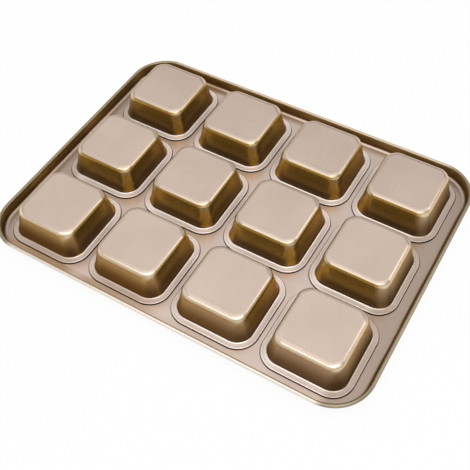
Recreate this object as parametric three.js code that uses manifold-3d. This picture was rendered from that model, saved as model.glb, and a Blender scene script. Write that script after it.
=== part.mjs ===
// Square muffin pan, lying upside down on its cup flanges: twelve drawn cups are locked into the holes
// of one frame sheet, and the frame's skirt rises to a rolled bead around a closed wire.
// Millimetres, +Z up, +X along the pan. The origin is under the middle of the pan, on the surface it rests on.

import Module from 'manifold-3d';
import * as THREE from 'three';
import { mergeVertices } from 'three/addons/utils/BufferGeometryUtils.js';

// Layout of the cups
const cupColumns = 4;
const cupRows = 3;
const ringGap = 4.7;
const sheetThickness = 0.6;

// Cup: outside sizes. The foot is where the wall's line meets the top of the locking ring.
const cupDepth = 27.1;
const footWidth = 71.6;
const footCorner = 14;
const footRadius = 1.6;
const wallDraftDegrees = 10.3;
const floorCorner = 8;
const floorRadius = 4.5;
const lipRadius = 1.2;
const flangeReach = 3.4;

// Locking ring: a fold of the cup's own sheet that clamps the frame sheet against the flange
const ringReach = 5.85;
const ringLayers = 2;
const ringClearance = 0.3;
const neckClearance = 0.3;

// Frame: deck margins outside the cups' rings, skirt and bead
const endMargin = 11.4;
const sideMargin = 9.4;
const deckCorner = 34;
const skirtFillet = 2.5;
const skirtFlareDegrees = 1;
const beadRise = 9.5;
const beadRadius = 1.8;
const curlSweepDegrees = 290;
const wireClearance = 0.3;
const cutOverrun = 1;

// Steps that round stretches are divided into
const cupCornerSteps = 4;
const rimCornerSteps = 8;
const floorEdgeSteps = 3;
const floorInsideSteps = 2;
const footSteps = 2;
const lipSteps = 2;
const ringEdgeSteps = 2;
const skirtFilletSteps = 3;
const curlSteps = 10;
const curlInsideSteps = 8;
const wireSteps = 8;

// Finishes
const coatingColour = 0xb7a190;
const coatingRoughness = 0.42;
const coatingMetalness = 0.7;
const wireColour = 0x9a9c9e;
const wireRoughness = 0.35;

const quarterTurn = Math.PI / 2;
const halfTurn = Math.PI;
const fullTurn = Math.PI * 2;

// Heights above the surface that the flanges rest on
const flangeTop = sheetThickness;
const deckTop = flangeTop + sheetThickness;
const ringBottom = deckTop + ringClearance;
const ringTop = ringBottom + ringLayers * sheetThickness;
const floorTop = ringTop + cupDepth;
const floorUnderside = floorTop - sheetThickness;
const beadHeight = deckTop + beadRise;

// The cup's wall is a straight line in section, and leans in from the foot to the floor
const wallDraft = THREE.MathUtils.degToRad(wallDraftDegrees);
const wallLean = Math.tan(wallDraft);
const footHalf = footWidth / 2;
const wallHalfAt = (z) => footHalf - (z - ringTop) * wallLean;
const filletReach = Math.tan((quarterTurn - wallDraft) / 2);
const floorHalf = wallHalfAt(floorTop) - floorRadius * filletReach;
const ringHalf = footHalf + ringReach;
const neckHalf = wallHalfAt(0);
const holeHalf = neckHalf + neckClearance;

// Along the wall, the centre of the round corner moves evenly from its place at the foot to the floor's
const footCentre = footHalf - footCorner;
const floorCentre = floorHalf - floorCorner;
const cornerCentreAt = (z) => THREE.MathUtils.mapLinear(z, ringTop, floorTop, footCentre, floorCentre);

// Places of the pieces, from the cups' pitch outwards
const cupPitch = ringHalf * 2 + ringGap;
const deckHalfX = cupPitch * (cupColumns - 1) / 2 + ringHalf + endMargin;
const deckHalfY = cupPitch * (cupRows - 1) / 2 + ringHalf + sideMargin;
const rimCentreX = deckHalfX - deckCorner;
const rimCentreY = deckHalfY - deckCorner;

// The bead's middle line: its distance from the corner's centre, where the curl is tangent to the skirt
const skirtFlare = THREE.MathUtils.degToRad(skirtFlareDegrees);
const beadReach = deckCorner + beadRise * Math.tan(skirtFlare) + beadRadius / Math.cos(skirtFlare);
const curlInsideRadius = beadRadius - sheetThickness;
const wireRadius = curlInsideRadius - wireClearance;

const wasm = await Module();
wasm.setup();

// Points of an arc in a section, where x is the way out from the axis and y is up
function arc(centreX, centreY, radius, startAngle, endAngle, steps) {
  const points = [];
  for (let step = 0; step <= steps; step++) {
    const angle = THREE.MathUtils.lerp(startAngle, endAngle, step / steps);
    points.push(new THREE.Vector2(centreX + radius * Math.cos(angle), centreY + radius * Math.sin(angle)));
  }
  return points;
}

// Keeps only the positions and merges the corners that faces share, so that the surface is closed
function closed(geometry) {
  geometry.deleteAttribute('normal');
  geometry.deleteAttribute('uv');
  return mergeVertices(geometry);
}

// A lathe turned about the centre of a round corner, whose quarters then move out to the four corners.
// The faces between two quarters stretch into the straight sides, and the middle of a floor stays put.
function turnedWithCorners(section, steps, centreXAt, centreYAt) {
  const stepsPerQuarter = steps + 1;
  const columns = stepsPerQuarter * 4;
  const lathe = new THREE.LatheGeometry(section, columns);
  const position = lathe.attributes.position;
  for (let index = 0; index < position.count; index++) {
    const { x: reach, y: z } = section[index % section.length];
    const column = Math.floor(index / section.length) % columns;
    const quarter = Math.floor(column / stepsPerQuarter);
    const angle = (quarter + (column % stepsPerQuarter) / steps) * quarterTurn;
    const middle = (quarter + 1 / 2) * quarterTurn;
    const onAxis = reach === 0;
    const cornerX = onAxis ? 0 : Math.sign(Math.cos(middle)) * centreXAt(z);
    const cornerY = onAxis ? 0 : Math.sign(Math.sin(middle)) * centreYAt(z);
    position.setXYZ(index, cornerX + reach * Math.cos(angle), cornerY + reach * Math.sin(angle), z);
  }
  return closed(lathe);
}

// Cup section: from the middle of the floor, down the inside to the flange, then up the neck, around
// the locking ring and up the outside
function cupSection() {
  const ringEdge = (ringTop - ringBottom) / 2;
  const insideRadius = floorRadius - sheetThickness;
  const edgeCentreZ = floorTop - floorRadius;
  const insideHalf = neckHalf - sheetThickness / Math.cos(wallDraft);
  const lipHalf = insideHalf + lipRadius * filletReach;
  const filletHalf = footHalf + footRadius * filletReach;
  const flangeHalf = neckHalf + flangeReach;
  const outline = [
    ...arc(floorHalf, edgeCentreZ, insideRadius, quarterTurn, wallDraft, floorInsideSteps),
    ...arc(lipHalf, lipRadius, lipRadius, wallDraft - halfTurn, -quarterTurn, lipSteps),
    new THREE.Vector2(flangeHalf, 0),
    new THREE.Vector2(flangeHalf, flangeTop),
    new THREE.Vector2(neckHalf, flangeTop),
    new THREE.Vector2(neckHalf, ringBottom),
    ...arc(ringHalf - ringEdge, ringBottom + ringEdge, ringEdge, -quarterTurn, quarterTurn, ringEdgeSteps),
    ...arc(filletHalf, ringTop + footRadius, footRadius, -quarterTurn, wallDraft - halfTurn, footSteps),
    ...arc(floorHalf, edgeCentreZ, floorRadius, wallDraft, quarterTurn, floorEdgeSteps),
  ];
  const fromCorner = outline.map((point) => new THREE.Vector2(point.x - cornerCentreAt(point.y), point.y));
  return [new THREE.Vector2(0, floorUnderside), ...fromCorner, new THREE.Vector2(0, floorTop)];
}

function cupGeometry() {
  return turnedWithCorners(cupSection(), cupCornerSteps, cornerCentreAt, cornerCentreAt);
}

// Tray section: the deck's underside, up the skirt's outside, through the curl and back around it, then
// down the skirt's inside to the deck's upper face
function traySection() {
  const curlStart = halfTurn - skirtFlare;
  const curlEnd = curlStart - THREE.MathUtils.degToRad(curlSweepDegrees);
  const filletX = deckCorner - skirtFillet * Math.tan((quarterTurn - skirtFlare) / 2);
  const filletZ = deckTop + skirtFillet;
  const outsideFillet = skirtFillet + sheetThickness;
  return [
    new THREE.Vector2(0, flangeTop),
    ...arc(filletX, filletZ, outsideFillet, -quarterTurn, -skirtFlare, skirtFilletSteps),
    ...arc(beadReach, beadHeight, curlInsideRadius, curlStart, curlEnd, curlInsideSteps),
    ...arc(beadReach, beadHeight, beadRadius, curlEnd, curlStart, curlSteps),
    ...arc(filletX, filletZ, skirtFillet, -skirtFlare, -quarterTurn, skirtFilletSteps),
    new THREE.Vector2(0, deckTop),
  ];
}

function onRim(section) {
  return turnedWithCorners(section, rimCornerSteps, () => rimCentreX, () => rimCentreY);
}

// Wire section: a closed circle inside the curl
function wireGeometry() {
  return onRim(arc(beadReach, beadHeight, wireRadius, 0, fullTurn, wireSteps));
}

// Punch for one cup's hole, which runs past both faces of the sheet
function holePunch() {
  const corner = holeHalf - cornerCentreAt(flangeTop);
  const centre = holeHalf - corner;
  const outline = new THREE.Shape();
  outline.absarc(centre, centre, corner, 0, quarterTurn);
  outline.absarc(-centre, centre, corner, quarterTurn, halfTurn);
  outline.absarc(-centre, -centre, corner, halfTurn, halfTurn + quarterTurn);
  outline.absarc(centre, -centre, corner, -quarterTurn, 0);
  const punch = new THREE.ExtrudeGeometry(outline, {
    depth: sheetThickness + cutOverrun * 2,
    bevelEnabled: false,
    curveSegments: cupCornerSteps / 2,
  });
  punch.translate(0, 0, flangeTop - cutOverrun);
  return closed(punch);
}

function toSolid(geometry) {
  return new wasm.Manifold(new wasm.Mesh({
    numProp: 3,
    vertProperties: Float32Array.from(geometry.attributes.position.array),
    triVerts: Uint32Array.from(geometry.index.array),
  }));
}

function toGeometry(solid) {
  const { vertProperties, triVerts } = solid.getMesh();
  const geometry = new THREE.BufferGeometry();
  geometry.setAttribute('position', new THREE.BufferAttribute(vertProperties, 3));
  geometry.setIndex(new THREE.BufferAttribute(triVerts, 1));
  return geometry;
}

function cupPlaces() {
  const places = [];
  for (let row = 0; row < cupRows; row++) {
    for (let column = 0; column < cupColumns; column++) {
      const x = (column - (cupColumns - 1) / 2) * cupPitch;
      const y = (row - (cupRows - 1) / 2) * cupPitch;
      places.push({ name: `cup_row${row + 1}_col${column + 1}`, x, y });
    }
  }
  return places;
}

// Frame: the tray with one hole punched for each cup
function frameGeometry() {
  const punch = toSolid(holePunch());
  let frame = toSolid(onRim(traySection()));
  for (const { x, y } of cupPlaces()) {
    frame = frame.subtract(punch.translate(x, y, 0));
  }
  return toGeometry(frame);
}

function coating() {
  return new THREE.MeshStandardMaterial({
    color: coatingColour,
    roughness: coatingRoughness,
    metalness: coatingMetalness,
  });
}

function steel() {
  return new THREE.MeshStandardMaterial({ color: wireColour, roughness: wireRoughness, metalness: 1 });
}

function piece(name, geometry, material) {
  geometry.computeVertexNormals();
  const mesh = new THREE.Mesh(geometry, material);
  mesh.name = name;
  return mesh;
}

const pan = new THREE.Group();
pan.add(piece('pan_frame', frameGeometry(), coating()));
pan.add(piece('rim_wire', wireGeometry(), steel()));
for (const { name, x, y } of cupPlaces()) {
  const cup = piece(name, cupGeometry(), coating());
  cup.position.set(x, y, 0);
  pan.add(cup);
}

export default pan;
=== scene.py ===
import math

import bmesh
import bpy
from mathutils import Matrix, Quaternion, Vector


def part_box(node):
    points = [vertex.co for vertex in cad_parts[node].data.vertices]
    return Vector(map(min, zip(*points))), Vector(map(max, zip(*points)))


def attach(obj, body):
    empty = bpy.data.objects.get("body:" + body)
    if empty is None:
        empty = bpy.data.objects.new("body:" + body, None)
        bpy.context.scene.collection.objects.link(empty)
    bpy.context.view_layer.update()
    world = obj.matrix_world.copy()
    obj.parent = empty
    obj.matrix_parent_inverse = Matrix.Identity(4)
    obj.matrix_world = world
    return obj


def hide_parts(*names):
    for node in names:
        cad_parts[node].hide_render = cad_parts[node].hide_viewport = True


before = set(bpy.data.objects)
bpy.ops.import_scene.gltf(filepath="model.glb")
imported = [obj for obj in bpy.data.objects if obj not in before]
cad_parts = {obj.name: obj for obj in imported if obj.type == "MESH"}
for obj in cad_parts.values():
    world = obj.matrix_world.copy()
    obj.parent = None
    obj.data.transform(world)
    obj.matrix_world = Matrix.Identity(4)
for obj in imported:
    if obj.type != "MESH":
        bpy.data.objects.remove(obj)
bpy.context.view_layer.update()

# Sheet and cup sizes, in metres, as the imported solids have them. The foot is where the wall's line meets the
# top of the locking ring.
SHEET = 0.0006
CUP_DEPTH = 0.0271
FOOT_HALF = 0.0358
FOOT_CORNER = 0.014
WALL_DRAFT = math.radians(10.3)
FLOOR_CORNER = 0.008
FLOOR_RADIUS = 0.0045
LIP_RADIUS = 0.0012
FLANGE_REACH = 0.0034
RING_CLEARANCE = 0.0003
NECK_CLEARANCE = 0.0003
RING_EDGE_RADIUS = 0.0006

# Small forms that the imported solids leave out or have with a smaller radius
FOOT_RADIUS = 0.0019
CORNER_FLOOR_RADIUS = 0.0058
SHOULDER_RADIUS = 0.0165
SHOULDER_TILT = math.radians(8)
PANEL_SLOPE = 0.0009
PANEL_STEP = 0.00003
GROOVE_INSET = 0.0023
GROOVE_HALF_WIDTH = 0.00035
GROOVE_DEPTH = 0.00006
SKIRT_FILLET = 0.004

# Frame sizes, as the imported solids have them
DECK_CORNER = 0.034
SKIRT_FLARE = math.radians(1)
BEAD_RISE = 0.0095
BEAD_RADIUS = 0.0018
CURL_SWEEP = math.radians(290)
WIRE_CLEARANCE = 0.0003

# How finely round stretches are divided, and how near to a round the flat beside it has its first line
CORNER_STEPS = 14
RIM_STEPS = 28
EDGE_STEPS = 9
SMALL_STEPS = 6
CURL_STEPS = 22
WIRE_STEPS = 14
HOLD = 0.0004

# How near points are merged, how far a punch goes past the sheet, and from which angle an edge is sharp
MERGE = 0.000002
PUNCH_OVERRUN = 0.002
SHARP_ANGLE = math.radians(50)

# The photograph's camera: place, the point that it looks at, its turn about the line of sight, and its lens
CAMERA_PLACE = Vector((0.24336, -0.38778, 0.56459))
CAMERA_TARGET = Vector((0.01405, -0.02617, 0.0027))
CAMERA_ROLL = math.radians(-2.34)
CAMERA_LENS = 58.911
CAMERA_SENSOR = 36

QUARTER = math.pi / 2
DIAGONAL = Vector((1, 1, 0))
CUP_NODES = sorted(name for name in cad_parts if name.startswith("cup_"))

# Heights, slopes and reaches that follow from the sizes
FLANGE_TOP = SHEET
DECK_TOP = FLANGE_TOP + SHEET
RING_BOTTOM = DECK_TOP + RING_CLEARANCE
RING_TOP = RING_BOTTOM + SHEET * 2
FLOOR_TOP = RING_TOP + CUP_DEPTH
WALL_LEAN = math.tan(WALL_DRAFT)
FILLET_REACH = math.tan((QUARTER - WALL_DRAFT) / 2)
PANEL_TOP = FLOOR_TOP - PANEL_STEP
EDGE_TOP = FLOOR_TOP - (SHOULDER_RADIUS - FLOOR_RADIUS) * (1 - math.cos(SHOULDER_TILT))
BEAD_HEIGHT = DECK_TOP + BEAD_RISE
BEAD_REACH = DECK_CORNER + BEAD_RISE * math.tan(SKIRT_FLARE) + BEAD_RADIUS / math.cos(SKIRT_FLARE)


def wall_half(z):
    """Half of a cup's width over its outside walls, by the wall's straight line, at a height."""
    return FOOT_HALF - (z - RING_TOP) * WALL_LEAN


def node_middle(name):
    """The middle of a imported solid's box."""
    low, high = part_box(name)
    return (low + high) / 2


def half_size(name):
    """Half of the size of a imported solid's box."""
    low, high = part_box(name)
    return (high - low) / 2


NECK_HALF = wall_half(0)
FLOOR_HALF = wall_half(EDGE_TOP) - FLOOR_RADIUS * FILLET_REACH
CREST_HALF = FLOOR_HALF - (SHOULDER_RADIUS - FLOOR_RADIUS) * math.sin(SHOULDER_TILT)
RING_HALF = half_size(CUP_NODES[0]).x
PITCH = node_middle("cup_row1_col2").x - node_middle("cup_row1_col1").x
RIM_CENTRE = half_size("pan_frame") - DIAGONAL * (BEAD_REACH + BEAD_RADIUS)


def corner_centre(z):
    """How far the axis of a cup's corner stands from the cup's middle, along X and Y, at a height."""
    share = (z - RING_TOP) / CUP_DEPTH
    at_foot = FOOT_HALF - FOOT_CORNER
    at_floor = FLOOR_HALF - FLOOR_CORNER
    return at_foot + (at_floor - at_foot) * share


# Shapes

def arc(x, z, radius, start, end, steps):
    """Points of an arc in a section, where x is the way out from the axis."""
    angles = [start + (end - start) * step / steps for step in range(steps + 1)]
    return [(x + radius * math.cos(a), z + radius * math.sin(a)) for a in angles]


def wave(start, end, low, high, steps):
    """Points of half a wave in a section, from the start at the low height to the end at the high one."""
    points = []
    for step in range(steps + 1):
        rise = (1 - math.cos(math.pi * step / steps)) / 2
        points.append((start + (end - start) * step / steps, low + (high - low) * rise))
    return points


def only(kind, items):
    """The verts, or the edges, out of what an operator gives back."""
    return [item for item in items if isinstance(item, kind)]


def open_edges(bm):
    """The edges along open borders."""
    return [edge for edge in bm.edges if edge.is_boundary]


def turned(bm, section, steps, centre_at, closed=False, eased=None):
    """Spins a section a quarter turn about a corner's axis, moves the corner out to its place, draws the two
    ends out to the middles of the sides and mirrors the quarter into the whole round. A vertex may be eased
    before it moves out, which shapes the corner."""
    verts = [bm.verts.new((x, 0, z)) for x, z in section]
    pairs = list(zip(verts, verts[1:]))
    if closed:
        pairs.append((verts[-1], verts[0]))
    first = [bm.edges.new(pair) for pair in pairs]
    spun = bmesh.ops.spin(
        bm, geom=verts + first, axis=(0, 0, 1), cent=(0, 0, 0), angle=QUARTER, steps=steps,
    )
    last = only(bmesh.types.BMEdge, spun["geom_last"])
    for vert in bm.verts:
        if eased:
            vert.co = eased(vert.co)
        centre = centre_at(vert.co.z)
        vert.co.x += centre.x
        vert.co.y += centre.y
    for chain, axis in ((first, 1), (last, 0)):
        drawn = bmesh.ops.extrude_edge_only(bm, edges=chain)["geom"]
        for vert in only(bmesh.types.BMVert, drawn):
            vert.co[axis] = 0
    for axis in ("X", "Y"):
        everything = bm.verts[:] + bm.edges[:] + bm.faces[:]
        bmesh.ops.mirror(bm, geom=everything, matrix=Matrix(), merge_dist=MERGE, axis=axis)


def finish_piece(bm, name, material, slot_name, *nodes):
    """Turns a bmesh into a smooth piece that rides on the pan and stands for the named solids."""
    bmesh.ops.remove_doubles(bm, verts=bm.verts, dist=MERGE)
    bmesh.ops.recalc_face_normals(bm, faces=bm.faces)
    mesh = bpy.data.meshes.new(name)
    bm.to_mesh(mesh)
    bm.free()
    mesh.shade_smooth()
    mesh.set_sharp_from_angle(angle=SHARP_ANGLE)
    mesh.materials.append(material)
    piece = bpy.data.objects.new(name, mesh)
    bpy.context.scene.collection.objects.link(piece)
    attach(piece, "root")
    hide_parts(*nodes)


def cup_section():
    """Half-widths and heights from under the floor, down to the flange, and up the outside to the floor."""
    edge_z = EDGE_TOP - FLOOR_RADIUS
    wall_across = SHEET / math.cos(WALL_DRAFT)
    lip_half = NECK_HALF - wall_across + LIP_RADIUS * FILLET_REACH
    foot_half = FOOT_HALF + FOOT_RADIUS * FILLET_REACH
    flange_half = NECK_HALF + FLANGE_REACH
    edge_half = RING_HALF - RING_EDGE_RADIUS
    panel_half = CREST_HALF - PANEL_SLOPE
    shoulder_z = FLOOR_TOP - SHOULDER_RADIUS
    shoulder_end = QUARTER - SHOULDER_TILT
    groove_half = RING_HALF - GROOVE_INSET
    groove_out = groove_half + GROOVE_HALF_WIDTH
    groove_in = groove_half - GROOVE_HALF_WIDTH
    groove_floor = RING_TOP - GROOVE_DEPTH
    wall_low = RING_TOP + FOOT_RADIUS + HOLD
    wall_high = edge_z - HOLD
    return [
        (panel_half - HOLD, PANEL_TOP - SHEET),
        *wave(panel_half, CREST_HALF, PANEL_TOP - SHEET, FLOOR_TOP - SHEET, SMALL_STEPS),
        *arc(CREST_HALF, shoulder_z, SHOULDER_RADIUS - SHEET, QUARTER, shoulder_end, SMALL_STEPS)[1:],
        *arc(FLOOR_HALF, edge_z, FLOOR_RADIUS - SHEET, shoulder_end, WALL_DRAFT, EDGE_STEPS)[1:],
        (wall_half(wall_high) - wall_across, wall_high),
        (wall_half(wall_low) - wall_across, wall_low),
        *arc(lip_half, LIP_RADIUS, LIP_RADIUS, WALL_DRAFT - math.pi, -QUARTER, SMALL_STEPS),
        (lip_half + HOLD, 0),
        (flange_half, 0),
        (flange_half, FLANGE_TOP),
        (NECK_HALF, FLANGE_TOP),
        (NECK_HALF, RING_BOTTOM),
        (edge_half - HOLD, RING_BOTTOM),
        *arc(edge_half, RING_BOTTOM + SHEET, RING_EDGE_RADIUS, -QUARTER, QUARTER, SMALL_STEPS),
        (edge_half - HOLD, RING_TOP),
        *wave(groove_out, groove_half, RING_TOP, groove_floor, SMALL_STEPS),
        *wave(groove_half, groove_in, groove_floor, RING_TOP, SMALL_STEPS)[1:],
        (foot_half + HOLD, RING_TOP),
        *arc(foot_half, RING_TOP + FOOT_RADIUS, FOOT_RADIUS, -QUARTER, WALL_DRAFT - math.pi, SMALL_STEPS),
        (wall_half(wall_low), wall_low),
        (wall_half(wall_high), wall_high),
        *arc(FLOOR_HALF, edge_z, FLOOR_RADIUS, WALL_DRAFT, shoulder_end, EDGE_STEPS),
        *arc(CREST_HALF, shoulder_z, SHOULDER_RADIUS, shoulder_end, QUARTER, SMALL_STEPS)[1:],
        *wave(CREST_HALF, panel_half, FLOOR_TOP, PANEL_TOP, SMALL_STEPS)[1:],
        (panel_half - HOLD, PANEL_TOP),
    ]


def corner_eased(place):
    """A point of the spun corner, moved so that the floor's edge is rounder in the middle of the corner. The
    wall keeps its line, and the floor keeps its outline and follows the rounder edge down."""
    if place.z < RING_TOP + CUP_DEPTH / 2:
        return place
    out = math.hypot(place.x, place.y)
    half = out + corner_centre(place.z)
    extra = (CORNER_FLOOR_RADIUS - FLOOR_RADIUS) * math.sin(2 * math.atan2(place.y, place.x)) ** 2
    radius = FLOOR_RADIUS + extra
    axis_half = FLOOR_HALF - extra * FILLET_REACH
    past = half - FLOOR_HALF
    rise = place.z - (EDGE_TOP - FLOOR_RADIUS)
    if past < -MERGE:
        z = place.z - radius + math.sqrt(radius ** 2 - max(half - axis_half, 0) ** 2)
    elif rise < 0:
        half += extra * (math.cos(WALL_DRAFT) - FILLET_REACH)
        z = place.z - extra * (1 - math.sin(WALL_DRAFT))
    else:
        under = FLOOR_RADIUS - math.hypot(past, rise)
        share = (math.atan2(rise, past) - WALL_DRAFT) / (QUARTER - WALL_DRAFT)
        angle = WALL_DRAFT + share * (math.acos((FLOOR_HALF - axis_half) / radius) - WALL_DRAFT)
        half = axis_half + (radius - under) * math.cos(angle)
        z = EDGE_TOP - radius + (radius - under) * math.sin(angle)
    scale = (half - corner_centre(z)) / out
    return Vector((place.x * scale, place.y * scale, z))


def make_cup(node, material):
    """One drawn cup with its flange and locking ring."""
    bm = bmesh.new()
    section = [(half - corner_centre(z), z) for half, z in cup_section()]
    turned(bm, section, CORNER_STEPS, lambda z: DIAGONAL * corner_centre(z), eased=corner_eased)
    bmesh.ops.edgeloop_fill(bm, edges=open_edges(bm))
    middle = node_middle(node)
    bmesh.ops.translate(bm, verts=bm.verts, vec=(middle.x, middle.y, 0))
    finish_piece(bm, "drawn_" + node, material, "coated_sheet", node)


def tray_section():
    """Reaches and heights from the deck's underside, up the skirt, around the curl and back to the deck."""
    curl_start = math.pi - SKIRT_FLARE
    curl_end = curl_start - CURL_SWEEP
    fillet_x = DECK_CORNER - SKIRT_FILLET * math.tan((QUARTER - SKIRT_FLARE) / 2)
    fillet_z = DECK_TOP + SKIRT_FILLET
    return [
        (fillet_x - HOLD, FLANGE_TOP),
        *arc(fillet_x, fillet_z, SKIRT_FILLET + SHEET, -QUARTER, -SKIRT_FLARE, EDGE_STEPS),
        *arc(BEAD_REACH, BEAD_HEIGHT, BEAD_RADIUS - SHEET, curl_start, curl_end, CURL_STEPS),
        *arc(BEAD_REACH, BEAD_HEIGHT, BEAD_RADIUS, curl_end, curl_start, CURL_STEPS),
        *arc(fillet_x, fillet_z, SKIRT_FILLET, -SKIRT_FLARE, -QUARTER, EDGE_STEPS),
        (fillet_x - HOLD, DECK_TOP),
    ]


def hole_punches():
    """One upright block with round corners for each cup's hole, joined into one mesh."""
    axis = corner_centre(FLANGE_TOP)
    reach = NECK_HALF + NECK_CLEARANCE - axis
    block = bmesh.new()
    section = [(reach, -PUNCH_OVERRUN), (reach, DECK_TOP + PUNCH_OVERRUN)]
    turned(block, section, CORNER_STEPS, lambda z: DIAGONAL * axis)
    bmesh.ops.edgeloop_fill(block, edges=open_edges(block))
    bmesh.ops.recalc_face_normals(block, faces=block.faces)
    mesh = bpy.data.meshes.new("hole_punch")
    block.to_mesh(mesh)
    block.free()
    punches = bmesh.new()
    for node in CUP_NODES:
        before = len(punches.verts)
        punches.from_mesh(mesh)
        punches.verts.ensure_lookup_table()
        middle = node_middle(node)
        bmesh.ops.translate(punches, verts=punches.verts[before:], vec=(middle.x, middle.y, 0))
    punches.to_mesh(mesh)
    punches.free()
    return mesh


def punched(tray, punches):
    """The tray's mesh with the holes cut through its deck."""
    blank = bpy.data.objects.new("blank_tray", tray)
    tool = bpy.data.objects.new("punch_tool", punches)
    for part in (blank, tool):
        bpy.context.scene.collection.objects.link(part)
    cut = blank.modifiers.new("holes", "BOOLEAN")
    cut.operation = "DIFFERENCE"
    cut.solver = "EXACT"
    cut.object = tool
    bpy.context.view_layer.update()
    result = bpy.data.meshes.new_from_object(blank.evaluated_get(bpy.context.evaluated_depsgraph_get()))
    for part in (blank, tool):
        bpy.data.objects.remove(part)
    return result


def make_frame(material):
    """The frame sheet: skirt and bead around a deck with one hole for each cup."""
    bm = bmesh.new()
    turned(bm, tray_section(), RIM_STEPS, lambda z: RIM_CENTRE)
    bmesh.ops.edgeloop_fill(bm, edges=open_edges(bm))
    bmesh.ops.recalc_face_normals(bm, faces=bm.faces)
    tray = bpy.data.meshes.new("tray")
    bm.to_mesh(tray)
    bm.clear()
    bm.from_mesh(punched(tray, hole_punches()))
    finish_piece(bm, "pressed_frame", material, "coated_sheet", "pan_frame")


def make_wire(material):
    """The closed wire inside the curl."""
    bm = bmesh.new()
    radius = BEAD_RADIUS - SHEET - WIRE_CLEARANCE
    section = arc(BEAD_REACH, BEAD_HEIGHT, radius, 0, math.tau, WIRE_STEPS)[1:]
    turned(bm, section, RIM_STEPS, lambda z: RIM_CENTRE, closed=True)
    finish_piece(bm, "bead_wire", material, "rim_steel", "rim_wire")


# Shader values and nodes

# The float inputs of a Map Range node, and which of a Mix node's inputs and outputs are colours
RANGE_INPUTS = "From Min", "From Max", "To Min", "To Max"
MIX_FIRST = 6
MIX_SECOND = 7
MIX_RESULT = 2


class Value:
    """A node's output. Python's operators combine it with numbers and other values."""

    def __init__(self, graph, socket):
        self.graph = graph
        self.socket = socket

    def maths(self, operation, *others):
        """What a Math node makes of this value and the others."""
        return self.graph.node("Math", {"operation": operation}, dict(enumerate((self, *others))))

    def __add__(self, other):
        return self.maths("ADD", other)

    def __sub__(self, other):
        return self.maths("SUBTRACT", other)

    def __mul__(self, other):
        return self.maths("MULTIPLY", other)

    def __rsub__(self, other):
        return self.graph.node("Math", {"operation": "SUBTRACT"}, {0: other, 1: self})

    def __abs__(self):
        return self.maths("ABSOLUTE")

    __radd__ = __add__
    __rmul__ = __mul__


def larger(first, second):
    """The larger of a value and another one or a number."""
    return first.maths("MAXIMUM", second)


def smaller(first, second):
    """The smaller of a value and another one or a number."""
    return first.maths("MINIMUM", second)


class Graph:
    """The node tree of a material or of the world."""

    def __init__(self, owner):
        owner.use_nodes = True
        self.tree = owner.node_tree
        self.tree.nodes.clear()

    def node(self, kind, settings=None, inputs=None, output=0):
        """Adds a node with its settings and its inputs' values or links, and gives one of its outputs."""
        made = self.tree.nodes.new("ShaderNode" + kind)
        for name, setting in (settings or {}).items():
            setattr(made, name, setting)
        for key, given in (inputs or {}).items():
            if isinstance(given, Value):
                self.tree.links.new(given.socket, made.inputs[key])
            else:
                made.inputs[key].default_value = given
        if made.outputs:
            return Value(self, made.outputs[output])

    def between(self, value, limits, results):
        """The first result up to the first limit, the second one past the second limit, eased in between."""
        inputs = {"Value": value, **dict(zip(RANGE_INPUTS, (*limits, *results)))}
        return self.node("MapRange", {"interpolation_type": "SMOOTHSTEP"}, inputs)

    def above(self, value, limits):
        """0 up to the first limit and 1 past the second one."""
        return self.between(value, limits, (0.0, 1.0))

    def below(self, value, limits):
        """1 up to the first limit and 0 past the second one."""
        return self.between(value, limits, (1.0, 0.0))

    def colour(self, mask, first, second):
        """One colour where the mask is 0, and another where it is 1."""
        inputs = {0: mask, MIX_FIRST: first, MIX_SECOND: second}
        return self.node("Mix", {"data_type": "RGBA"}, inputs, MIX_RESULT)

    def noise(self, place, scale, detail):
        """Soft noise from 0 to 1."""
        return self.node("TexNoise", {}, {"Vector": place, "Scale": scale, "Detail": detail})

    def parts(self, vector):
        """A vector's three numbers."""
        return [self.node("SeparateXYZ", {}, {0: vector}, axis) for axis in range(3)]


def linear(red, green, blue):
    """A colour as it looks on screen, from 0 to 255, in the shader's own numbers, by the sRGB curve."""
    shares = [part / 255 for part in (red, green, blue)]
    curved = [s / 12.92 if s <= 0.04045 else ((s + 0.055) / 1.055) ** 2.4 for s in shares]
    return (*curved, 1.0)


# Coating of all sheet pieces: noise, how metallic and how rough it is, and what each kind of place adds
CLOUD_SCALE = 26.0
FLECK_SCALE = 2600.0
PEEL_SCALE = 1100.0
CLOUD_DETAIL = 3.0
GRAIN_DETAIL = 2.0
NOISE_MIDDLE = 0.5
CLOUD_LIMITS = 0.3, 0.7
FLECK_LIMITS = 0.35, 0.7
FLECK_SHARE = 0.05
FLECK_TONE = linear(238, 226, 210)
# Painted shade for the crevice between a locking ring and the deck
CREVICE_SHADE_TONE = linear(46, 24, 10)
COATING_METALLIC = 0.84
DULL_METALLIC = -0.42
CREVICE_SHADE_METALLIC = 0.16
COATING_ROUGHNESS = 0.27
DULL_ROUGHNESS = 0.13
OUTSIDE_ROUGHNESS = 0.11
CLOUD_ROUGHNESS = 0.03
FLECK_ROUGHNESS = 0.04
GRAZING_TINT = 0.8, 0.62, 0.42, 1
PEEL_STRENGTH = 0.05
PEEL_HEIGHT = 0.0002

# How much a surface faces up or down, from 0 to 1. Under the first pair it is a drawn wall and over it flat
# sheet. Over the second pair it is level.
DRAWN_LIMITS = 0.64, 0.9
LEVEL_LIMITS = 0.96, 0.995


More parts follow.
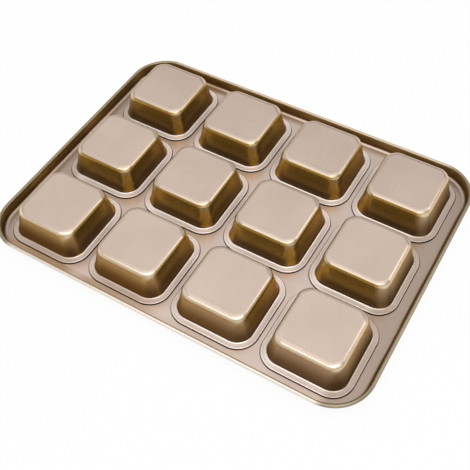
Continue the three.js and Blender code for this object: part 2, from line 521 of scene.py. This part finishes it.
def coated_sheet(name, tint):
    """Champagne release coating: satin, with a fine metallic fleck. The tint gives the sheet's colour at a
    point, painted light and shade included, and how much it is painted crevice shade, the pan's outside and
    worked, duller sheet, each from 0 to 1."""
    material = bpy.data.materials.new(name)
    graph = Graph(material)
    place = graph.node("TexCoord", output="Object")
    toward_x, toward_y, toward_z = graph.parts(graph.node("NewGeometry", output="Normal"))
    clouds = graph.noise(place, CLOUD_SCALE, CLOUD_DETAIL)
    fleck = graph.noise(place, FLECK_SCALE, GRAIN_DETAIL)
    peel = graph.noise(place, PEEL_SCALE, GRAIN_DETAIL)
    blotch = graph.above(clouds, CLOUD_LIMITS)
    drawn = graph.below(abs(toward_z), DRAWN_LIMITS)
    base, crevice_shade, outside, worked = tint(graph, blotch, drawn, graph.parts(place), (toward_x, toward_y))
    dull = worked * graph.above(abs(toward_z), LEVEL_LIMITS) * (1 - crevice_shade)
    rough = dull * DULL_ROUGHNESS + outside * OUTSIDE_ROUGHNESS
    uneven = (clouds - NOISE_MIDDLE) * CLOUD_ROUGHNESS + (fleck - NOISE_MIDDLE) * FLECK_ROUGHNESS
    bump = graph.node("Bump", {}, {"Strength": PEEL_STRENGTH, "Distance": PEEL_HEIGHT, "Height": peel})
    surface = graph.node("BsdfPrincipled", {}, {
        "Base Color": graph.colour(graph.above(fleck, FLECK_LIMITS) * FLECK_SHARE, base, FLECK_TONE),
        "Metallic": COATING_METALLIC + dull * DULL_METALLIC + crevice_shade * CREVICE_SHADE_METALLIC,
        "Roughness": COATING_ROUGHNESS + rough + uneven,
        "Specular Tint": GRAZING_TINT,
        "Normal": bump,
    })
    graph.node("OutputMaterial", {}, {"Surface": surface})
    return material


# Where a point is on the pan. A blend to the tones of the pan's outside starts and ends this far past the
# floors of the outermost cups.
OUTSIDE_BLEND = -0.008, 0.002
LAST_CUP = node_middle("cup_row3_col4")


def on_outside(graph, x, y):
    """Two masks, for the pan's ends and its long sides: 1 on the margin and on the cup walls beside it."""
    at_end = graph.above(abs(x) - (LAST_CUP.x + FLOOR_HALF), OUTSIDE_BLEND)
    at_side = graph.above(abs(y) - (LAST_CUP.y + FLOOR_HALF), OUTSIDE_BLEND)
    return at_end, at_side


def from_cup(x, y):
    """How far a point stands from the middle of the nearest cup, along X and along Y. The columns stand half
    a pitch and one and a half pitches from the pan's middle, and the rows none and one."""
    return abs(abs(abs(x) - PITCH) - PITCH / 2), smaller(abs(y), abs(abs(y) - PITCH))


def past_ring(x, y):
    """How far a point stands outside the outline of the nearest cup's locking ring."""
    axis = corner_centre(RING_TOP)
    out_x, out_y = (larger(along - axis, 0.0) for along in from_cup(x, y))
    return (out_x * out_x + out_y * out_y).maths("SQRT") - (RING_HALF - axis)


def under_floor(start, end):
    """Two heights, given as depths under the top of the cups' floors."""
    return FLOOR_TOP - start, FLOOR_TOP - end


# Tones of the cups. A pair of tones is for the foot and the top of a wall, or for blotches that differ.
# Besides the floors' and rings' base tones, these are painted light and shade.
FLAT_TONES = linear(204, 184, 168), linear(209, 190, 174)
# Painted highlight on the floors' rounded edges
EDGE_HIGHLIGHT_TONE = linear(243, 225, 203)
# Painted shade: walls darker than the floors, darkest toward the foot
WALL_TONES = linear(90, 65, 34), linear(206, 164, 72)
# Painted shade in a band just under the floor's edge, on the walls between the cups
INNER_EDGE_SHADE_TONE = linear(152, 120, 52)
# Painted light: the pan's outside walls are lighter, and its long sides are golden at the left and greyer at
# the right
END_WALL_PAINTED_LIGHT_TONES = linear(94, 75, 42), linear(222, 194, 150)
LEFT_WALL_PAINTED_LIGHT_TONES = linear(128, 92, 34), linear(244, 202, 134)
RIGHT_WALL_PAINTED_LIGHT_TONES = linear(106, 80, 48), linear(222, 190, 152)
# Painted shade in a band under the floor's edge on the pan's long outside walls
UNDER_EDGE_SHADE_TONE = linear(184, 150, 108)
# Painted highlight in the round corners, painted light and shade on the pan's outside corners, and a pale
# painted highlight cap under the floor's edge
CORNER_HIGHLIGHT_TONES = linear(186, 142, 46), linear(214, 176, 94)
END_CORNER_LIGHT_AND_SHADE_TONES = linear(152, 122, 80), linear(246, 220, 178)
SIDE_CORNER_SHADE_TONES = linear(84, 60, 28), linear(200, 164, 108)
CORNER_HIGHLIGHT_CAP_TONE = linear(240, 224, 194)
RING_TONES = linear(228, 211, 200), linear(235, 219, 209)
# Painted shade on the rings at the pan's ends and near left, painted light on their other sides along X, and
# painted shade in the groove
END_RING_SHADE_TONE = linear(198, 180, 166)
LONG_RING_LIGHT_TONE = linear(252, 240, 232)
NEAR_RING_SHADE_TONE = linear(202, 180, 164)
GROOVE_SHADE_TONE = linear(188, 170, 158)

# Heights between which the tones of a cup change
UP_WALL = under_floor(0.0248, 0.0023)
WALL_FOOT = under_floor(0.0198, 0.0158)
CORNER_HIGHLIGHT_CAP = under_floor(0.0083, 0.004)
UNDER_EDGE_SHADE = under_floor(0.0063, 0.0036)
INNER_EDGE_SHADE = under_floor(0.0032, 0.0019)
EDGE_HIGHLIGHT_HEIGHTS = under_floor(0.0029, 0.0011)
FLOOR_EDGE_HIGHLIGHT = under_floor(0.0008, 0.0004)
OVER_RING = RING_TOP + 0.0001, RING_TOP + 0.0008
RING_FACE = RING_TOP + 0.0002, RING_TOP + 0.0006
IN_GROOVE = RING_TOP - GROOVE_DEPTH, RING_TOP - GROOVE_DEPTH / 4
UNDER_RING = RING_TOP - 0.0006, RING_TOP - 0.0002

# Places along X or Y between which they change
LEFT_TO_RIGHT = -0.02, 0.1
LEFT_HALF = -0.03, 0.05
NEAR_ROW = -0.1, -0.06

# Distances past a ring's outline, and, for its mitres, how much further out a point is along Y than along X
INSIDE_RING_EDGE = -0.0012, -0.001
AT_RING_EDGE = -0.0008, -0.0003
RING_MITRE = -0.01, 0.01

# How much a wall faces along X, and how much it faces along both X and Y
FACING_END = 0.6, 0.95
FACING_BOTH = 0.25, 0.62

# How strongly a tone covers the one under it
FACING_END_SHADE_SHARE = 0.45
INNER_EDGE_SHADE_SHARE = 0.8
UNDER_EDGE_SHADE_SHARE = 0.8
CORNER_SHARE = 0.8
CORNER_HIGHLIGHT_CAP_SHARE = 0.75
FLOOR_EDGE_HIGHLIGHT_SHARE = 0.3
LONG_RING_LIGHT_SHARE = 0.75


def wall_colour(graph, x, z, toward_x, at_end, at_side):
    """Golden between the cups, with painted shade that darkens it to the foot, where the wall faces along X
    and in a band just under the floor's edge. The pan's outside is painted lighter as painted light. Its long
    sides go from golden at the left to greyer at the right, with a painted shade band and then a painted
    highlight just under the floor's edge."""
    up_wall = graph.above(z, UP_WALL)
    inner = graph.colour(up_wall, *WALL_TONES)
    facing_end = graph.above(abs(toward_x), FACING_END)
    # Painted shade where the wall faces along X
    inner = graph.colour(facing_end * FACING_END_SHADE_SHARE, inner, WALL_TONES[0])
    inner = graph.colour(graph.above(z, INNER_EDGE_SHADE) * INNER_EDGE_SHADE_SHARE, inner, INNER_EDGE_SHADE_TONE)
    end = graph.colour(up_wall, *END_WALL_PAINTED_LIGHT_TONES)
    left = graph.colour(up_wall, *LEFT_WALL_PAINTED_LIGHT_TONES)
    right = graph.colour(up_wall, *RIGHT_WALL_PAINTED_LIGHT_TONES)
    side = graph.colour(graph.above(x, LEFT_TO_RIGHT), left, right)
    side = graph.colour(graph.above(z, UNDER_EDGE_SHADE) * UNDER_EDGE_SHADE_SHARE, side, UNDER_EDGE_SHADE_TONE)
    side = graph.colour(graph.above(z, EDGE_HIGHLIGHT_HEIGHTS), side, EDGE_HIGHLIGHT_TONE)
    return graph.colour(at_side, graph.colour(at_end, inner, end), side)


def corner_colour(graph, z, at_end, at_side):
    """Lighter gold in a cup's round corners as a painted highlight. On the pan's ends the corners are lighter
    at the top and darker at the foot, and on its long sides darker, as painted light and shade. A pale painted
    highlight cap sits under the floor's edge.
    """
    up_wall = graph.above(z, UP_WALL)
    corner = graph.colour(up_wall, *CORNER_HIGHLIGHT_TONES)
    corner = graph.colour(at_end, corner, graph.colour(up_wall, *END_CORNER_LIGHT_AND_SHADE_TONES))
    corner = graph.colour(at_side, corner, graph.colour(up_wall, *SIDE_CORNER_SHADE_TONES))
    return graph.colour(graph.above(z, CORNER_HIGHLIGHT_CAP) * CORNER_HIGHLIGHT_CAP_SHARE, corner, CORNER_HIGHLIGHT_CAP_TONE)


def ring_colour(graph, blotch, place, at_end, past):
    """A ring's tone, with painted light that makes it palest on its sides along X, painted shade at the pan's
    near left and at its ends, and painted shade in the groove.
    """
    x, y, z = place
    ring = graph.colour(blotch, *RING_TONES)
    along_x, along_y = from_cup(x, y)
    long_side = graph.above(along_y - along_x, RING_MITRE)
    near_left = graph.below(y, NEAR_ROW) * graph.below(x, LEFT_HALF)
    long_side_light = graph.colour(near_left, LONG_RING_LIGHT_TONE, NEAR_RING_SHADE_TONE)
    ring = graph.colour(long_side * LONG_RING_LIGHT_SHARE, ring, long_side_light)
    ring = graph.colour(at_end, ring, END_RING_SHADE_TONE)
    in_groove = graph.below(z, IN_GROOVE) * graph.below(past, INSIDE_RING_EDGE)
    return graph.colour(in_groove, ring, GROOVE_SHADE_TONE)


def cup_tint(graph, blotch, drawn, place, toward):
    """A cup's walls, corners, floor and locking ring, with painted light and shade, and painted shade in the
    crevice under the ring's edge.
    """
    x, y, z = place
    at_end, at_side = on_outside(graph, x, y)
    past = past_ring(x, y)
    wall = wall_colour(graph, x, z, toward[0], at_end, at_side)
    corner = corner_colour(graph, z, at_end, at_side)
    facing_both = graph.above(smaller(abs(toward[0]), abs(toward[1])), FACING_BOTH)
    wall = graph.colour(facing_both * CORNER_SHARE, wall, corner)
    # Painted highlight along the top of each floor's edge, at full strength on the pan's long sides
    edge_highlight_share = at_side * (1 - FLOOR_EDGE_HIGHLIGHT_SHARE) + FLOOR_EDGE_HIGHLIGHT_SHARE
    flat = graph.colour(blotch, *FLAT_TONES)
    flat = graph.colour(graph.below(z, FLOOR_EDGE_HIGHLIGHT) * edge_highlight_share, flat, EDGE_HIGHLIGHT_TONE)
    cup = graph.colour(larger(drawn, graph.below(z, WALL_FOOT)), flat, wall)
    ring = ring_colour(graph, blotch, place, at_end, past)
    base = graph.colour(graph.above(z, OVER_RING), ring, cup)
    # Painted shade in the crevice under the ring's outer edge
    crevice_shade = graph.below(z, UNDER_RING) * graph.above(past, AT_RING_EDGE)
    outside = larger(at_end, at_side) * drawn
    return graph.colour(crevice_shade, base, CREVICE_SHADE_TONE), crevice_shade, outside, graph.below(z, RING_FACE)


# Tones of the frame. A pair is for blotches that differ, or for the foot and the top of the skirt. Besides the
# deck's and bead's base tones, they are painted light and shade.
DECK_TONES = linear(208, 189, 177), linear(216, 198, 187)
# Painted shade: greyer margins at the pan's ends
END_MARGIN_SHADE_TONE = linear(174, 156, 142)
# Painted reflection of the cup walls on the deck's margins along the long sides
SIDE_MARGIN_REFLECTION_TONE = linear(172, 142, 108)
# Painted shade inside the skirt, darker toward its foot
SKIRT_SHADE_TONES = linear(116, 80, 48), linear(138, 112, 48)
BEAD_INNER_TONE = linear(202, 182, 158)
# Painted highlight on the bead's outside
BEAD_OUTER_HIGHLIGHT_TONE = linear(250, 240, 226)
# Painted shade on the bead at the pan's ends
END_BEAD_SHADE_TONE = linear(142, 128, 100)

# Heights between which the tones of the frame change
ON_SKIRT = DECK_TOP, BEAD_HEIGHT
ON_BEAD = BEAD_HEIGHT - 0.0004, BEAD_HEIGHT + 0.0008
ON_DECK = DECK_TOP + 0.0002, DECK_TOP + 0.0006
DECK_FACE = DECK_TOP - 0.0003, DECK_TOP - 0.0001

# How much a surface faces out from the pan's middle, weighed by how far out it lies
INSIDE_SKIRT = -0.35, 0.05
ACROSS_BEAD = -0.3, 0.6

# Distances along Y past the outermost rings, along X from the pan's middle, along X from a cup's middle, and
# past a ring's outline
SIDE_MARGIN = -0.00115, 0.00135
SIDE_MARGIN_FADE = -0.1, 0.06
BESIDE_CUP = 0.028, PITCH / 2
CREVICE_SHADE_REACH = 0.0, 0.0009

# How strongly a tone covers the one under it, at the two ends of a blend, and how dull the deck is
SIDE_MARGIN_REFLECTION_SHARES = 0.9, 0.0
BESIDE_CUP_REFLECTION_SHARES = 1.0, 0.35
END_BEAD_SHADE_SHARE = 0.9
DULL_DECK_SHARES = 0.3, 0.0


def frame_tint(graph, blotch, drawn, place, toward):
    """Brown inside the skirt and darker to its foot as painted shade, greyer margins at the ends as painted
    shade, and browner ones along the sides as a painted reflection of the cup walls. The bead is khaki, with a
    pale painted highlight on its outside and painted shade at the pan's ends, and there is painted shade in
    the crevice on the deck around each ring."""
    x, y, z = place
    outward = (x * toward[0] + y * toward[1]) * (1 / half_size("pan_frame").y)
    at_end = on_outside(graph, x, y)[0]
    flat = graph.colour(at_end, graph.colour(blotch, *DECK_TONES), END_MARGIN_SHADE_TONE)
    past_rings = abs(y) - (LAST_CUP.y + RING_HALF)
    # Painted reflection of the cup walls on the long margins, strongest at the left and beside each cup
    painted_wall_reflection = graph.above(past_rings, SIDE_MARGIN) * graph.between(x, SIDE_MARGIN_FADE, SIDE_MARGIN_REFLECTION_SHARES)
    painted_wall_reflection = painted_wall_reflection * graph.between(from_cup(x, y)[0], BESIDE_CUP, BESIDE_CUP_REFLECTION_SHARES) * (1 - drawn)
    flat = graph.colour(painted_wall_reflection, flat, SIDE_MARGIN_REFLECTION_TONE)
    skirt = graph.colour(graph.above(z, ON_SKIRT), *SKIRT_SHADE_TONES)
    base = graph.colour(drawn * graph.below(outward, INSIDE_SKIRT), flat, skirt)
    bead = graph.colour(graph.above(outward, ACROSS_BEAD), BEAD_INNER_TONE, BEAD_OUTER_HIGHLIGHT_TONE)
    bead = graph.colour(at_end * END_BEAD_SHADE_SHARE, bead, END_BEAD_SHADE_TONE)
    base = graph.colour(graph.above(z, ON_BEAD), base, bead)
    # Painted shade on the deck just outside each ring's outline
    crevice_shade = graph.below(past_ring(x, y), CREVICE_SHADE_REACH) * graph.above(z, DECK_FACE)
    worked = graph.between(z, ON_DECK, DULL_DECK_SHARES)
    return graph.colour(crevice_shade, base, CREVICE_SHADE_TONE), crevice_shade, 0.0, worked


# Bare wire
MARK_SCALE = 900.0
MARK_DETAIL = 3.0
MARK_ROUGHNESS = 0.2
WIRE_TONES = linear(150, 150, 152), linear(196, 196, 198)
WIRE_ROUGHNESS = 0.3


def drawn_steel():
    """Bare wire with fine marks."""
    material = bpy.data.materials.new("drawn_wire_steel")
    graph = Graph(material)
    marks = graph.noise(graph.node("TexCoord", output="Object"), MARK_SCALE, MARK_DETAIL)
    surface = graph.node("BsdfPrincipled", {}, {
        "Base Color": graph.colour(marks, *WIRE_TONES),
        "Metallic": 1.0,
        "Roughness": WIRE_ROUGHNESS + marks * MARK_ROUGHNESS,
    })
    graph.node("OutputMaterial", {}, {"Surface": surface})
    return material


# Studio: the floor's reach, how far and how wide its edge rises, and how far it lies under the pan
STUDIO_REACH = 3.0
STUDIO_STEPS = 96
STUDIO_RISE = 1.0
STUDIO_SPREAD = 1.25
STUDIO_DROP = 0.0002
FLOOR_GREY = 0.9, 0.9, 0.9, 1
WHITE = 1, 1, 1, 1
WHITE_SHARE = 0.93
SKY_COLOUR = 0.98, 0.97, 1.0, 1
SKY_STRENGTH = 0.46

# Soft lamps: name, place, the point that it faces, width, height and brightness
SOFTBOXES = (
    ("main_softbox", (-0.6, 0.5, 1.7), (-0.6, 0.45, 0), 3.3, 2.6, 0.54),
    ("top_softbox", (0, -0.05, 1.45), (0, 0, 0), 1.4, 1.1, 0.4),
    ("near_softbox", (0.2, -0.95, 1.4), (0.2, 0, 0), 2.2, 0.6, 1.45),
    ("left_softbox", (-2.4, -0.5, 0.95), (0, 0, 0), 1.6, 0.9, 0.3),
    ("corner_softbox", (0.8, -0.46, 1.31), (0, 0, 0), 0.8, 0.8, 1.4),
    ("right_softbox", (0.88, 0.88, 1.25), (0, 0, 0), 0.6, 0.6, 1.9),
    ("low_right_softbox", (1.6, 0.9, 0.6), (0, 0, 0), 0.7, 0.5, 0.8),
)


def pale_floor():
    """Matte pale grey in the light that it gives the pan, and near white where the camera, a reflection or
    glass sees it."""
    material = bpy.data.materials.new("pale_floor")
    graph = Graph(material)
    camera, glossy, through = (
        graph.node("LightPath", output=name)
        for name in ("Is Camera Ray", "Is Glossy Ray", "Is Transmission Ray")
    )
    matte = graph.node("BsdfDiffuse", {}, {"Color": FLOOR_GREY})
    white = graph.node("Emission", {}, {"Color": WHITE, "Strength": 1.0})
    seen = (camera + glossy + through) * WHITE_SHARE
    mixed = graph.node("MixShader", {}, {0: seen, 1: matte, 2: white})
    graph.node("OutputMaterial", {}, {"Surface": mixed})
    return material


def make_floor():
    """A pale floor that rises at its edge into a low backdrop all round."""
    bm = bmesh.new()
    bmesh.ops.create_circle(bm, cap_ends=True, radius=STUDIO_REACH, segments=STUDIO_STEPS)
    raised = bmesh.ops.extrude_edge_only(bm, edges=open_edges(bm))["geom"]
    verts = only(bmesh.types.BMVert, raised)
    bmesh.ops.scale(bm, verts=verts, vec=(STUDIO_SPREAD, STUDIO_SPREAD, 1))
    bmesh.ops.translate(bm, verts=verts, vec=(0, 0, STUDIO_RISE))
    bmesh.ops.translate(bm, verts=bm.verts, vec=(0, 0, -STUDIO_DROP))
    bmesh.ops.recalc_face_normals(bm, faces=bm.faces)
    mesh = bpy.data.meshes.new("studio_floor")
    bm.to_mesh(mesh)
    bm.free()
    mesh.materials.append(pale_floor())
    floor = bpy.data.objects.new("studio_floor", mesh)
    bpy.context.scene.collection.objects.link(floor)


def softbox(name, place, aim, width, height, brightness):
    """A flat soft lamp. Its power goes with its area, so its brightness holds when its size changes."""
    lamp = bpy.data.lights.new(name, "AREA")
    lamp.shape = "RECTANGLE"
    lamp.size = width
    lamp.size_y = height
    lamp.energy = brightness * math.pi * width * height
    holder = bpy.data.objects.new(name, lamp)
    holder.location = place
    holder.rotation_mode = "QUATERNION"
    holder.rotation_quaternion = (Vector(aim) - Vector(place)).to_track_quat("-Z", "Y")
    bpy.context.scene.collection.objects.link(holder)


def make_studio():
    """The floor, an even pale sky and the soft lamps."""
    make_floor()
    world = bpy.data.worlds.new("studio")
    bpy.context.scene.world = world
    graph = Graph(world)
    sky = graph.node("Background", {}, {"Color": SKY_COLOUR, "Strength": SKY_STRENGTH})
    graph.node("OutputWorld", {}, {"Surface": sky})
    for lamp in SOFTBOXES:
        softbox(*lamp)


def make_camera():
    """The camera that was fitted to the photograph."""
    data = bpy.data.cameras.new("photograph_camera")
    data.lens = CAMERA_LENS
    data.sensor_width = CAMERA_SENSOR
    camera = bpy.data.objects.new("photograph_camera", data)
    bpy.context.scene.collection.objects.link(camera)
    sight = (CAMERA_TARGET - CAMERA_PLACE).to_track_quat("-Z", "Y")
    camera.rotation_mode = "QUATERNION"
    camera.rotation_quaternion = sight @ Quaternion((0, 0, 1), CAMERA_ROLL)
    camera.location = CAMERA_PLACE
    bpy.context.scene.camera = camera


make_frame(coated_sheet("champagne_coating_on_frame", frame_tint))
make_wire(drawn_steel())
cup_coating = coated_sheet("champagne_coating_on_cups", cup_tint)
for cup_node in CUP_NODES:
    make_cup(cup_node, cup_coating)
make_studio()
make_camera()
bpy.context.scene.view_settings.view_transform = "Standard"
